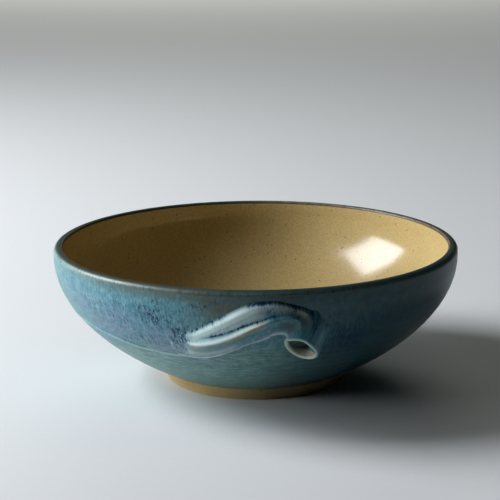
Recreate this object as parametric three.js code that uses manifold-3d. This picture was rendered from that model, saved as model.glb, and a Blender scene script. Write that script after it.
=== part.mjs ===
// A wide stoneware bowl for proving bread dough, thrown on a wheel and trimmed to a bare foot ring.
// A buff liner glaze coats the inside, a blue-green glaze the outside, and the two meet on the lip.
// A pulled strap handle shaped as a wave with a curled end is luted on at the front and at the back.
// Millimetres, +Z up. The origin is on the bowl's axis at table height; the front handle faces -Y.
import * as THREE from "three";
import { mergeVertices } from "three/addons/utils/BufferGeometryUtils.js";
import Module from "manifold-3d";

const degrees = THREE.MathUtils.degToRad;

// Thrown wall, from the foot to the lip
const rimRadius = 152.4;
const bowlHeight = 104;
const wallStartRise = degrees(25.2);
const wallLean = degrees(4);
const wallStartPullShare = 0.59;
const wallEndPullShare = 0.42;
const footWallThickness = 10.5;
const floorThickness = 6.5;

// Lip
const lipWidth = 7.1;
const lipOuterRound = 3.8;
const lipInnerRound = 1.6;

// Glaze coats
const glazeThickness = 0.6;

// Foot ring
const footHeight = 8.7;
const footTopRadius = 70.9;
const footSplay = 2.3;
const footWidth = 7.4;
const footBevel = 1;

// Pulled handle, laid on the glazed wall
const handleLength = 104;
const handleCentreOffset = -1;
const handleRelief = 9.8;
const handleSeatGap = 0.3;

// Curl at the handle's right end
const curlOffset = 35;
const curlClimbShare = 0.755;
const curlOuterRadius = 12.6;
const curlBoreRadius = 8.4;
const curlReach = 10.2;
const curlTiltAside = degrees(31);
const curlTiltDown = degrees(15);

// Coil of clay that trails from the handle's lower left corner
const tailStartOffset = -50;
const tailEndOffset = -207;
const tailHalfWidth = 1.7;
const tailRelief = 1.7;
const tailEdge = 0.7;

// Facets
const turnSteps = 48;
const wallSteps = 11;
const floorSteps = 4;
const roundSteps = 3;
const curlSteps = 24;
const handleStepsPerStation = 3;
const tailSteps = 20;
const tailSides = 3;

// One length by which every cutter overruns what it cuts
const overrun = 12;

// Handle outline and relief. Each rail runs along the handle, left to right, through the stations.
// Climb shares are of the wall's length from foot to lip, relief shares of the handle's relief.
const stationShares = [0, 0.08, 0.21, 0.33, 0.45, 0.57, 0.67, 0.77, 0.88, 0.95, 1];
const handleRails = [
  // Lower edge
  {
    climbShares: [0.65, 0.596, 0.604, 0.66, 0.722, 0.768, 0.788, 0.785, 0.755, 0.7, 0.695],
    reliefShares: [0.1, 0.14, 0.16, 0.2, 0.27, 0.37, 0.51, 0.6, 0.6, 0.4, 0.1],
  },
  // Flange
  {
    climbShares: [0.672, 0.649, 0.664, 0.71, 0.764, 0.795, 0.815, 0.826, 0.819, 0.772, 0.726],
    reliefShares: [0.16, 0.31, 0.33, 0.35, 0.37, 0.43, 0.51, 0.65, 0.8, 0.6, 0.14],
  },
  // Hollow under the second ridge
  {
    climbShares: [0.695, 0.703, 0.734, 0.764, 0.811, 0.842, 0.853, 0.861, 0.849, 0.803, 0.749],
    reliefShares: [0.22, 0.6, 0.64, 0.66, 0.64, 0.56, 0.47, 0.49, 0.6, 0.56, 0.16],
  },
  // Second ridge
  {
    climbShares: [0.718, 0.745, 0.78, 0.811, 0.861, 0.888, 0.888, 0.888, 0.869, 0.826, 0.764],
    reliefShares: [0.31, 0.87, 0.92, 0.92, 0.88, 0.78, 0.66, 0.57, 0.6, 0.5, 0.19],
  },
  // Groove
  {
    climbShares: [0.734, 0.776, 0.803, 0.838, 0.88, 0.907, 0.911, 0.907, 0.884, 0.845, 0.78],
    reliefShares: [0.33, 0.82, 0.78, 0.78, 0.8, 0.82, 0.78, 0.7, 0.6, 0.46, 0.19],
  },
  // First ridge
  {
    climbShares: [0.757, 0.795, 0.845, 0.892, 0.938, 0.959, 0.951, 0.93, 0.903, 0.865, 0.799],
    reliefShares: [0.31, 0.87, 0.97, 0.99, 1, 1, 0.96, 0.9, 0.77, 0.51, 0.16],
  },
  // Upper edge
  {
    climbShares: [0.77, 0.814, 0.863, 0.909, 0.954, 0.975, 0.968, 0.948, 0.923, 0.885, 0.82],
    reliefShares: [0.1, 0.2, 0.25, 0.25, 0.25, 0.25, 0.25, 0.25, 0.2, 0.15, 0.1],
  },
];

// How deep the strap's sheet is sunk before it is fitted to the wall, as a share of its relief
const strapSunkShare = 0.5;

// The tail climbs the wall as it runs off to the left, and grows thinner.
const tailStationShares = [0, 0.06, 0.12, 0.34, 0.5, 0.7, 1];
const tailClimbShares = [0.584, 0.57, 0.556, 0.586, 0.603, 0.655, 0.715];
const tailSizeShares = [1, 1, 1, 0.95, 0.85, 0.7, 0.5];

// How tightly the smooth curves turn at the stations: 0 is straight between them.
const curveTension = 0.5;

const wasm = await Module();
wasm.setup();

// A closed geometry as a solid that can be joined and cut.
function solidFrom(geometry) {
  const bare = geometry.clone();
  bare.deleteAttribute("normal");
  bare.deleteAttribute("uv");
  const merged = mergeVertices(bare);
  return new wasm.Manifold(
    new wasm.Mesh({
      numProp: 3,
      vertProperties: merged.attributes.position.array,
      triVerts: new Uint32Array(merged.index.array),
    }),
  );
}

// A solid back as a geometry.
function geometryFrom(solid) {
  const mesh = solid.getMesh();
  const geometry = new THREE.BufferGeometry();
  geometry.setAttribute("position", new THREE.BufferAttribute(mesh.vertProperties, 3));
  geometry.setIndex(new THREE.BufferAttribute(mesh.triVerts, 1));
  geometry.computeVertexNormals();
  return geometry;
}

// Turns an outline of (radius, height) points round the Z axis.
// It runs anticlockwise, and either starts and ends on the axis or is closed here.
// Each facet is split along the same diagonal whichever way its outline runs, so that a coat
// and the clay under it share their faces exactly.
function turned(outline, steps = turnSteps) {
  const points = [...outline];
  if (points[0].x > 0) points.push(points[0].clone());
  const geometry = new THREE.LatheGeometry(points, steps);
  const index = [];
  const triangle = (...corners) => {
    const onAxis = corners.filter((corner) => points[corner % points.length].x === 0);
    if (onAxis.length < 2) index.push(...corners);
  };
  for (let turn = 0; turn < steps; turn++) {
    for (let row = 0; row + 1 < points.length; row++) {
      const a = turn * points.length + row;
      const b = a + points.length;
      const rising = points[row].y - points[row + 1].y || points[row].x - points[row + 1].x;
      if (rising < 0) {
        triangle(a, b, a + 1);
        triangle(b + 1, a + 1, b);
      } else {
        triangle(a, b, b + 1);
        triangle(a, b + 1, a + 1);
      }
    }
  }
  geometry.setIndex(index);
  return geometry.rotateX(Math.PI / 2);
}

// Points of a round of the given radius, from one direction to another.
function roundPoints(centre, radius, fromAngle, toAngle, steps = roundSteps) {
  return Array.from({ length: steps + 1 }, (_, i) => {
    const angle = THREE.MathUtils.lerp(fromAngle, toAngle, i / steps);
    return new THREE.Vector2(
      centre.x + radius * Math.cos(angle),
      centre.y + radius * Math.sin(angle),
    );
  });
}

// Outer face of the glazed wall: one curve from the foot to the start of the lip's round.
// It springs from the foot's top, one coat further out.
const outerRoundCentre = new THREE.Vector2(
  rimRadius - lipOuterRound * Math.cos(wallLean),
  bowlHeight - lipOuterRound,
);
const wallStart = new THREE.Vector2(footTopRadius + glazeThickness, footHeight);
const wallEnd = new THREE.Vector2(rimRadius, outerRoundCentre.y + lipOuterRound * Math.sin(wallLean));
const startPull = wallStartPullShare * (wallEnd.x - wallStart.x);
const endPull = wallEndPullShare * (wallEnd.y - wallStart.y);
const wallCurve = new THREE.CubicBezierCurve(
  wallStart,
  new THREE.Vector2(
    wallStart.x + startPull * Math.cos(wallStartRise),
    wallStart.y + startPull * Math.sin(wallStartRise),
  ),
  new THREE.Vector2(
    wallEnd.x + endPull * Math.sin(wallLean),
    wallEnd.y - endPull * Math.cos(wallLean),
  ),
  wallEnd,
);

// Outward direction of the wall at a share of its length.
function wallNormal(climbShare) {
  const tangent = wallCurve.getTangentAt(climbShare);
  return new THREE.Vector2(tangent.y, -tangent.x);
}

// A point that stands proud of the glazed wall (or under it, where proud is negative).
function wallOffset(climbShare, proud) {
  return wallCurve.getPointAt(climbShare).addScaledVector(wallNormal(climbShare), proud);
}

// Wall thickness, glaze included: the lip's width at the top, growing towards the foot.
function wallThickness(climbShare) {
  const fromTop = 1 - climbShare;
  return lipWidth + (footWallThickness - lipWidth) * fromTop * fromTop;
}

// Inner face from the floor's centre to the lip's inner round, set back by a coat's thickness.
function innerFace(setback) {
  const shares = Array.from({ length: wallSteps }, (_, i) => i / wallSteps);
  const wall = shares.map((share) => wallOffset(share, setback - wallThickness(share)));
  const floorLevel = footHeight + floorThickness - setback;
  const slope = wall[1].clone().sub(wall[0]);
  const corner = wall[0].clone().addScaledVector(slope, (floorLevel - wall[0].y) / slope.y);
  const floor = new THREE.QuadraticBezierCurve(
    new THREE.Vector2(0, floorLevel),
    corner,
    wall[0],
  );
  return [...floor.getPoints(floorSteps).slice(0, -1), ...wall];
}

// Outer face from the foot up to the lip's outer round, set back likewise.
function outerFace(setback) {
  const shares = Array.from({ length: wallSteps }, (_, i) => i / wallSteps);
  return shares.map((share) => wallOffset(share, -setback));
}

// The lip, from the end of the outer face over the top to the end of the inner face.
function lipFace(setback) {
  const innerRoundCentre = new THREE.Vector2(
    rimRadius - lipWidth + lipInnerRound,
    bowlHeight - lipInnerRound,
  );
  return [
    ...roundPoints(outerRoundCentre, lipOuterRound - setback, wallLean, Math.PI / 2),
    ...roundPoints(innerRoundCentre, lipInnerRound - setback, Math.PI / 2, Math.PI + wallLean),
  ];
}

function material(colour, roughness) {
  return new THREE.MeshStandardMaterial({ color: colour, roughness, metalness: 0 });
}

const bareClay = material("#a58a62", 0.85);
const linerGlaze = material("#b79c6a", 0.2);
const blueGlaze = material("#4f7f88", 0.35);
const ironGlaze = material("#4d4a40", 0.3);

function named(name, geometry, surface) {
  const mesh = new THREE.Mesh(geometry, surface);
  mesh.name = name;
  return mesh;
}

// Thrown clay body: floor and wall, with its flat trimmed underside at foot height.
function clayBowl() {
  return turned([
    new THREE.Vector2(0, footHeight),
    new THREE.Vector2(footTopRadius, footHeight),
    ...outerFace(glazeThickness),
    ...lipFace(glazeThickness),
    ...innerFace(glazeThickness).reverse(),
  ]);
}

// Trimmed ring that the bowl stands on, splayed a little outwards as it rises.
function footRing() {
  const bottomRadius = footTopRadius - footSplay;
  const innerRadius = bottomRadius - footWidth;
  return turned([
    new THREE.Vector2(innerRadius, footBevel),
    new THREE.Vector2(innerRadius + footBevel, 0),
    new THREE.Vector2(bottomRadius - footBevel, 0),
    new THREE.Vector2(bottomRadius, footBevel),
    new THREE.Vector2(footTopRadius, footHeight),
    new THREE.Vector2(innerRadius, footHeight),
  ]);
}

// Coat on the outside, from the foot to the lip's outer round.
function outerCoat() {
  return turned([
    ...outerFace(0),
    lipFace(0)[0],
    lipFace(glazeThickness)[0],
    ...outerFace(glazeThickness).reverse(),
  ]);
}

// Coat over the lip, where the two glazes meet.
function lipCoat() {
  return turned([...lipFace(0), ...lipFace(glazeThickness).reverse()]);
}

// Coat on the inside, from the lip's inner round down to the floor's centre.
function linerCoat() {
  return turned([
    ...innerFace(glazeThickness),
    lipFace(glazeThickness).at(-1),
    lipFace(0).at(-1),
    ...innerFace(0).reverse(),
  ]);
}

// Everything within the seat gap of the glazed bowl, as one solid to cut the handles with.
function seatSolid() {
  return solidFrom(
    turned([
      new THREE.Vector2(0, 0),
      ...outerFace(-handleSeatGap),
      ...lipFace(-handleSeatGap).slice(0, roundSteps + 1),
      new THREE.Vector2(0, bowlHeight + handleSeatGap),
    ]),
  );
}

// A place on the wall: offset is measured round the rim from the handle's centre line.
function onWall(offset, climbShare, proud) {
  const azimuth = offset / rimRadius;
  const point = wallOffset(climbShare, proud);
  return new THREE.Vector3(point.x * Math.sin(azimuth), -point.x * Math.cos(azimuth), point.y);
}

// A closed shell over a grid of places, from a sunk sheet up to a proud one.
// Each facet is split along its shorter diagonal.
function sheetSolid(rows, sunk) {
  const along = rows[0].length;
  const upper = rows.flat().map((p) => onWall(p.offset, p.climb, p.proud));
  const lower = rows.flat().map((p) => onWall(p.offset, p.climb, -sunk));
  const corners = [...upper, ...lower];
  const under = upper.length;
  const index = [];
  const quad = (a, b, c, d) => {
    const acrossFirst = corners[a].distanceTo(corners[c]);
    const acrossSecond = corners[b].distanceTo(corners[d]);
    if (acrossFirst < acrossSecond) index.push(a, b, c, a, c, d);
    else index.push(b, c, d, b, d, a);
  };
  for (let r = 0; r + 1 < rows.length; r++) {
    for (let i = 0; i + 1 < along; i++) {
      const a = r * along + i;
      quad(a, a + 1, a + along + 1, a + along);
      quad(under + a, under + a + along, under + a + along + 1, under + a + 1);
    }
    const left = r * along;
    const right = left + along - 1;
    quad(left, left + along, under + left + along, under + left);
    quad(right, under + right, under + right + along, right + along);
  }
  for (let i = 0; i + 1 < along; i++) {
    const top = (rows.length - 1) * along + i;
    quad(i, under + i, under + i + 1, i + 1);
    quad(top, top + 1, under + top + 1, under + top);
  }
  const geometry = new THREE.BufferGeometry().setFromPoints(corners);
  geometry.setIndex(index);
  return geometry;
}

// A smooth curve through hand-set values, read at a share of its length.
function smoothThrough(places, values) {
  const curve = new THREE.CatmullRomCurve3(
    places.map((place, i) => new THREE.Vector3(place, values[i], 0)),
    false,
    "catmullrom",
    curveTension,
  );
  return (station) => curve.getPoint(station / (places.length - 1)).y;
}

// The strap: a smooth sheet through the rails, thick in the ridges and thin at its edges.
function strapSolid() {
  const left = handleCentreOffset - handleLength / 2;
  const steps = (stationShares.length - 1) * handleStepsPerStation;
  const stations = Array.from({ length: steps + 1 }, (_, i) => i / handleStepsPerStation);
  const share = smoothThrough(stationShares, stationShares);
  const rows = handleRails.map((rail) => {
    const climb = smoothThrough(stationShares, rail.climbShares);
    const relief = smoothThrough(stationShares, rail.reliefShares);
    return stations.map((station) => ({
      offset: left + handleLength * share(station),
      climb: climb(station),
      proud: handleSeatGap + handleRelief * relief(station),
    }));
  });
  return solidFrom(sheetSolid(rows, handleRelief * strapSunkShare));
}

// Places a part turned about the Z axis so that its axis leaves the wall at the curl's tilts.
function atCurl(geometry) {
  const azimuth = curlOffset / rimRadius;
  const meridian = (along) =>
    new THREE.Vector3(along.x * Math.sin(azimuth), -along.x * Math.cos(azimuth), along.y);
  const outward = meridian(wallNormal(curlClimbShare));
  const down = meridian(wallCurve.getTangentAt(curlClimbShare)).negate();
  const aside = new THREE.Vector3(-Math.cos(azimuth), -Math.sin(azimuth), 0);
  const axis = outward
    .addScaledVector(aside, Math.tan(curlTiltAside))
    .addScaledVector(down, Math.tan(curlTiltDown))
    .normalize();
  const turn = new THREE.Quaternion().setFromUnitVectors(new THREE.Vector3(0, 0, 1), axis);
  const place = onWall(curlOffset, curlClimbShare, 0);
  return geometry.applyMatrix4(
    new THREE.Matrix4().compose(place, turn, new THREE.Vector3(1, 1, 1)),
  );
}

// The curl's mouth is fully rounded: half of its wall is the radius of the round.
const mouthRound = (curlOuterRadius - curlBoreRadius) / 2;
const mouthCentre = new THREE.Vector2(curlBoreRadius + mouthRound, curlReach - mouthRound);

// The strap's end rolled into a short tube.
function curlTube() {
  return solidFrom(
    atCurl(
      turned(
        [
          new THREE.Vector2(0, -overrun),
          new THREE.Vector2(curlOuterRadius, -overrun),
          ...roundPoints(mouthCentre, mouthRound, 0, Math.PI / 2),
          new THREE.Vector2(0, curlReach),
        ],
        curlSteps,
      ),
    ),
  );
}

// What is hollow: the bore, and what its rounded mouth leaves open.
function curlBore() {
  return solidFrom(
    atCurl(
      turned(
        [
          new THREE.Vector2(0, -overrun),
          new THREE.Vector2(curlBoreRadius, -overrun),
          ...roundPoints(mouthCentre, mouthRound, Math.PI, Math.PI / 2),
          new THREE.Vector2(mouthCentre.x, curlReach + overrun),
          new THREE.Vector2(0, curlReach + overrun),
        ],
        curlSteps,
      ),
    ),
  );
}

// The whole handle: strap and curl in one pull of clay, hollowed and fitted to the bowl.
function handle() {
  const clay = strapSolid().add(curlTube());
  return geometryFrom(clay.subtract(curlBore()).subtract(seatSolid()));
}

// The tail: a low coil smeared along the wall, with its underside on the seat gap.
function handleTail() {
  const stationCount = tailStationShares.length - 1;
  const climb = smoothThrough(tailStationShares, tailClimbShares);
  const size = smoothThrough(tailStationShares, tailSizeShares);
  const share = smoothThrough(tailStationShares, tailStationShares);
  const stations = Array.from(
    { length: tailSteps + 1 },
    (_, i) => stationCount * (1 - i / tailSteps),
  );
  const wallLength = wallCurve.getLength();
  const rows = Array.from({ length: tailSides + 1 }, (_, side) => {
    const angle = (Math.PI * side) / tailSides;
    return stations.map((station) => ({
      offset: THREE.MathUtils.lerp(tailStartOffset, tailEndOffset, share(station)),
      climb: climb(station) + (tailHalfWidth * size(station) * -Math.cos(angle)) / wallLength,
      proud: handleSeatGap + tailEdge + (tailRelief - tailEdge) * size(station) * Math.sin(angle),
    }));
  });
  return sheetSolid(rows, -handleSeatGap);
}

const bowl = new THREE.Group();
bowl.add(
  named("clay_bowl", clayBowl(), bareClay),
  named("foot_ring", footRing(), bareClay),
  named("liner_glaze", linerCoat(), linerGlaze),
  named("outer_glaze", outerCoat(), blueGlaze),
  named("lip_glaze", lipCoat(), ironGlaze),
);

const frontHandle = new THREE.Group();
frontHandle.add(
  named("front_handle", handle(), blueGlaze),
  named("front_handle_tail", handleTail(), blueGlaze),
);

const backHandle = new THREE.Group();
backHandle.rotation.z = Math.PI;
backHandle.add(
  named("back_handle", handle(), blueGlaze),
  named("back_handle_tail", handleTail(), blueGlaze),
);

bowl.add(frontHandle, backHandle);

export default bowl;
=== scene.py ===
import math

import bpy
import numpy as np
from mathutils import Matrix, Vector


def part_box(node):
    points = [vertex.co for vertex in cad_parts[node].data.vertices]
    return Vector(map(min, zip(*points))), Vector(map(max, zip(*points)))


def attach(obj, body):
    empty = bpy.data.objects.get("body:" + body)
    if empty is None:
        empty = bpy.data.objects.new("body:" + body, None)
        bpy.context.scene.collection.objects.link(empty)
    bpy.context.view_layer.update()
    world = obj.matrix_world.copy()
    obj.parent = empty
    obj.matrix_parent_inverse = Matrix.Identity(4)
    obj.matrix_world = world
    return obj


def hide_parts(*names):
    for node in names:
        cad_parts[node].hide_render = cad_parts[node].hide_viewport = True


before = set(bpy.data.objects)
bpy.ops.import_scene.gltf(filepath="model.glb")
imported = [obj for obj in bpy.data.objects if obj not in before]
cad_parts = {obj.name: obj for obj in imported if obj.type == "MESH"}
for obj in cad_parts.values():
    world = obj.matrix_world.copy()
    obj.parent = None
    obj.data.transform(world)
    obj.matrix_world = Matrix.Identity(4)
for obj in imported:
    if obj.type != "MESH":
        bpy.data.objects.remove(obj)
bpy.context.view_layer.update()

# Thrown body. Buff stoneware, thrown on a wheel from one ball of clay: a flat floor and a wall
# that swings out and up to the lip. Trimming the underside leaves fine turned grooves in it.
rim_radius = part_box("lip_glaze")[1][0]
bowl_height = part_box("lip_glaze")[1][2]
foot_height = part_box("foot_ring")[1][2]
foot_top_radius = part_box("foot_ring")[1][0]
coat_thickness = 0.0006
floor_thickness = 0.0065
foot_wall_thickness = 0.0105
lip_width = 0.0071
lip_outer_round = 0.0038
lip_inner_round = 0.0016
wall_start_rise = math.radians(25.2)
wall_lean = math.radians(4)
wall_start_pull = 0.59
wall_end_pull = 0.42
floor_joint_share = 1 / 11
wall_top_share = 0.985
clay_top_share = 0.995
sharp_angle = math.radians(55)
trim_groove_depth = 0.00018
trim_groove_spacing = 0.0031

outer_round_centre = np.array([
    rim_radius - lip_outer_round * math.cos(wall_lean), bowl_height - lip_outer_round,
])
inner_round_centre = np.array([rim_radius - lip_width + lip_inner_round, bowl_height - lip_inner_round])


def wall_table(steps=4000):
    """One cubic curve from the foot to the lip: it leaves the foot at wall_start_rise and reaches
    the lip leaning in by wall_lean. Gives the share of its length, the points and the outward normals."""
    start = np.array([foot_top_radius + coat_thickness, foot_height])
    end = np.array([rim_radius, outer_round_centre[1] + lip_outer_round * math.sin(wall_lean)])
    leave = np.array([math.cos(wall_start_rise), math.sin(wall_start_rise)])
    arrive = np.array([math.sin(wall_lean), -math.cos(wall_lean)])
    pull_out = start + leave * wall_start_pull * (end[0] - start[0])
    pull_in = end + arrive * wall_end_pull * (end[1] - start[1])
    s = np.linspace(0, 1, steps + 1)[:, None]
    curve = (
        (1 - s) ** 3 * start
        + 3 * (1 - s) ** 2 * s * pull_out
        + 3 * (1 - s) * s**2 * pull_in
        + s**3 * end
    )
    curve[:, 0] = np.minimum(curve[:, 0], rim_radius)
    run = np.concatenate([[0], np.cumsum(np.hypot(*np.diff(curve, axis=0).T))])
    tangent = np.gradient(curve, axis=0)
    tangent /= np.hypot(*tangent.T)[:, None]
    normal = np.stack([tangent[:, 1], -tangent[:, 0]], axis=1)
    return run / run[-1], curve, normal, run[-1]


wall_climb, wall_curve, wall_normal, wall_length = wall_table()


def wall(climb, proud=0.0):
    """Radius and height of the glazed wall at a share of its climb, moved outwards by proud."""
    radius = np.interp(climb, wall_climb, wall_curve[:, 0])
    height = np.interp(climb, wall_climb, wall_curve[:, 1])
    across = np.interp(climb, wall_climb, wall_normal[:, 0])
    up = np.interp(climb, wall_climb, wall_normal[:, 1])
    return radius + proud * across, height + proud * up


def inner_wall(climb, set_back=0.0):
    """The wall's inside: it lies the wall's thickness in from the outside, less near the lip."""
    thickness = lip_width + (foot_wall_thickness - lip_width) * (1 - climb) ** 2
    return wall(climb, set_back - thickness)


def inner_face(set_back, steps):
    """Inside of the bowl from the floor's centre to the lip: a parabola across the floor that
    runs on into the wall. The lowest part of the wall gives the direction they meet in."""
    floor_level = foot_height + floor_thickness - set_back
    joint = np.array(inner_wall(np.array([0.0, floor_joint_share]), set_back)).T
    slope = joint[1] - joint[0]
    corner = joint[0] + slope * (floor_level - joint[0][1]) / slope[1]
    s = np.linspace(0, 1, steps // 2, endpoint=False)[:, None]
    floor = (1 - s) ** 2 * np.array([0, floor_level]) + 2 * (1 - s) * s * corner + s**2 * joint[0]
    climbing = np.array(inner_wall(np.linspace(0, wall_top_share, steps), set_back)).T
    return np.concatenate([floor, climbing])


def lip_face(set_back, steps):
    """The lip from outside to inside: a wide round, a flat top and a tight round."""
    first = np.linspace(wall_lean, math.pi / 2, steps)[:, None]
    second = np.linspace(math.pi / 2, math.pi + wall_lean, steps)[:, None]
    return np.concatenate(
        [
            outer_round_centre
            + (lip_outer_round - set_back) * np.hstack([np.cos(first), np.sin(first)]),
            inner_round_centre
            + (lip_inner_round - set_back) * np.hstack([np.cos(second), np.sin(second)]),
        ]
    )


def turned(radius, height, around):
    """A profile carried round the axis. Row i stands at radius i and height i, which may differ round
    the turn. The turn starts at the front (-Y) and goes towards +X. Rows run anticlockwise in section.
    A first or last row with no radius is one point. Other profiles close on themselves."""
    turn = np.linspace(0, 2 * np.pi, around, endpoint=False)
    radius = np.broadcast_to(radius, (len(radius), around))
    height = np.broadcast_to(height, (len(height), around))
    poles = [i for i in (0, -1) if radius[i].max() == 0]
    ends = [[0, 0, height[i].mean()] for i in poles]
    if poles:
        radius, height = radius[1:-1], height[1:-1]
    rows = len(radius)
    points = np.stack([radius * np.sin(turn), -radius * np.cos(turn), height], axis=2)
    place = np.arange(rows * around).reshape(rows, around)
    here = place if not poles else place[:-1]
    above = np.roll(place, -1, axis=0) if not poles else place[1:]
    faces = np.stack(
        [here, np.roll(here, -1, axis=1), np.roll(above, -1, axis=1), above], axis=2
    )
    faces = faces.reshape(-1, 4).tolist()
    if poles:
        low, high = np.full(around, rows * around), np.full(around, rows * around + 1)
        faces += np.stack([low, np.roll(place[0], -1), place[0]], axis=1).tolist()
        faces += np.stack([high, place[-1], np.roll(place[-1], -1)], axis=1).tolist()
    return np.concatenate([points.reshape(-1, 3), np.reshape(ends, (-1, 3))]), faces


def chart(points):
    """Where points lie on the wall: metres round the rim from the front or the back handle, whichever
    is nearer, and the share of the wall's climb at their height."""
    half = math.pi * rim_radius
    offset = np.arctan2(points[:, 0], -points[:, 1]) * rim_radius
    offset = np.mod(offset + half / 2, half) - half / 2
    return offset, np.interp(points[:, 2], wall_curve[:, 1], wall_climb)


def piece(name, points, faces, finish, **marks):
    """A smooth-shaded mesh from arrays, with a number or a vector at each point for each mark."""
    mesh = bpy.data.meshes.new(name)
    mesh.from_pydata(points.tolist(), [], faces)
    mesh.shade_smooth()
    mesh.set_sharp_from_angle(angle=sharp_angle)
    for mark, values in marks.items():
        if values.ndim == 2:
            layer = mesh.attributes.new(mark, "FLOAT_VECTOR", "POINT")
            layer.data.foreach_set("vector", values.astype(np.float32).ravel())
        else:
            layer = mesh.attributes.new(mark, "FLOAT", "POINT")
            layer.data.foreach_set("value", values.astype(np.float32))
    mesh.materials.append(finish)
    shown = bpy.data.objects.new(name, mesh)
    bpy.context.scene.collection.objects.link(shown)
    return shown


def colour(code):
    """An sRGB hex colour as linear numbers."""
    parts = [int(code[i : i + 2], 16) / 255 for i in (1, 3, 5)]
    return [c / 12.92 if c <= 0.04045 else ((c + 0.055) / 1.055) ** 2.4 for c in parts] + [1.0]


def add(finish, kind, settings, inputs):
    """Adds a node to a finish. Inputs are values, nodes, or (node, output) pairs to link from."""
    node = finish.node_tree.nodes.new(kind)
    for name, value in settings.items():
        setattr(node, name, value)
    for name, value in inputs.items():
        sockets = [s for s in node.inputs if s.enabled]
        socket = node.inputs[name] if isinstance(name, int) else next(s for s in sockets if s.name == name)
        if isinstance(value, tuple):
            finish.node_tree.links.new(value[0].outputs[value[1]], socket)
        elif isinstance(value, bpy.types.Node):
            finish.node_tree.links.new(next(o for o in value.outputs if o.enabled), socket)
        else:
            socket.default_value = value
    return node


def new_finish(name):
    """An empty finish, ready for its nodes."""
    finish = bpy.data.materials.new(name)
    finish.use_nodes = True
    finish.node_tree.nodes.clear()
    return finish


def bare_stoneware():
    """Unglazed buff stoneware: matt, warm tan, with rusty grains of grog about a millimetre across."""
    finish = new_finish("bare_stoneware")
    place = add(finish, "ShaderNodeTexCoord", {}, {})
    here = (place, "Object")
    cloud = add(finish, "ShaderNodeTexNoise", {}, {"Vector": here, "Scale": 60.0, "Detail": 4.0})
    body = add(
        finish, "ShaderNodeMix", {"data_type": "RGBA"},
        {"Factor": (cloud, "Fac"), "A": colour("#8f7b50"), "B": colour("#a99668")},
    )
    grain = add(finish, "ShaderNodeTexNoise", {}, {"Vector": here, "Scale": 900.0, "Detail": 2.0})
    dark = add(
        finish, "ShaderNodeMapRange", {},
        {"Value": (grain, "Fac"), "From Min": 0.6, "From Max": 0.72},
    )
    speckled = add(
        finish, "ShaderNodeMix", {"data_type": "RGBA"},
        {"Factor": dark, "A": body, "B": colour("#7a5c38")},
    )
    bump = add(
        finish, "ShaderNodeBump", {},
        {"Height": (grain, "Fac"), "Strength": 0.35, "Distance": 0.0004},
    )
    rough = add(
        finish, "ShaderNodeMapRange", {},
        {"Value": (grain, "Fac"), "To Min": 0.75, "To Max": 0.92},
    )
    surface = add(
        finish, "ShaderNodeBsdfPrincipled", {},
        {"Base Color": speckled, "Roughness": rough, "Normal": bump, "IOR": 1.5},
    )
    add(finish, "ShaderNodeOutputMaterial", {}, {"Surface": surface})
    return finish


stoneware = bare_stoneware()


def trim_grooves(radius):
    """Shallow grooves left by the trimming tool, one every few millimetres of radius."""
    return trim_groove_depth * (0.5 - 0.5 * np.cos(2 * np.pi * radius / trim_groove_spacing))


def body_section():
    """The clay's section, one coat's thickness inside the glazed faces."""
    under = np.linspace(0, foot_top_radius, 70)
    underside = np.stack([under, foot_height + trim_grooves(under) * (under > 0)], axis=1)
    side = np.array(wall(np.linspace(0, clay_top_share, 70), -coat_thickness)).T
    inside = inner_face(coat_thickness, 60)[::-1]
    return np.concatenate([underside, side, lip_face(coat_thickness, 8), inside])


section = body_section()
points, faces = turned(section[:, :1], section[:, 1:], 192)
thrown_body = piece("thrown_body", points, faces, stoneware)
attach(thrown_body, "root")
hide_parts("clay_bowl")


# Foot ring. The same stoneware, trimmed from the thick base once the clay had stiffened.
# It is left bare so that the bowl doesn't stick to the kiln shelf.
foot_splay = 0.0023
foot_width = 0.0074
foot_bevel = 0.001
foot_groove_depth = 0.00014
foot_grooves = 4
foot_bottom_radius = foot_top_radius - foot_splay
foot_inner_radius = foot_bottom_radius - foot_width


def foot_section():
    """The ring's section: rounded where it stands, with a trimmed, slightly splayed outer side."""
    turn = np.linspace(0, math.pi / 2, 8)[:, None]
    back, up = foot_bevel * (1 - np.sin(turn)), foot_bevel * (1 - np.cos(turn))
    inner = np.hstack([foot_inner_radius + back, up])
    outer = np.hstack([foot_bottom_radius - back, up])
    side = np.linspace(0, 1, 24)[1:, None]
    low, high = outer[-1], np.array([foot_top_radius, foot_height])
    groove = foot_groove_depth / 2 * (1 - np.cos(side * 2 * np.pi * foot_grooves)) * np.sin(side * np.pi)
    sloped = low + (high - low) * side - np.hstack([groove, 0 * groove])
    return np.concatenate([inner[::-1], outer, sloped, [[foot_inner_radius, foot_height]]])


section = foot_section()
points, faces = turned(section[:, :1], section[:, 1:], 360)
trimmed_foot = piece("trimmed_foot", points, faces, stoneware)
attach(trimmed_foot, "root")
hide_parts("foot_ring")


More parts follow.
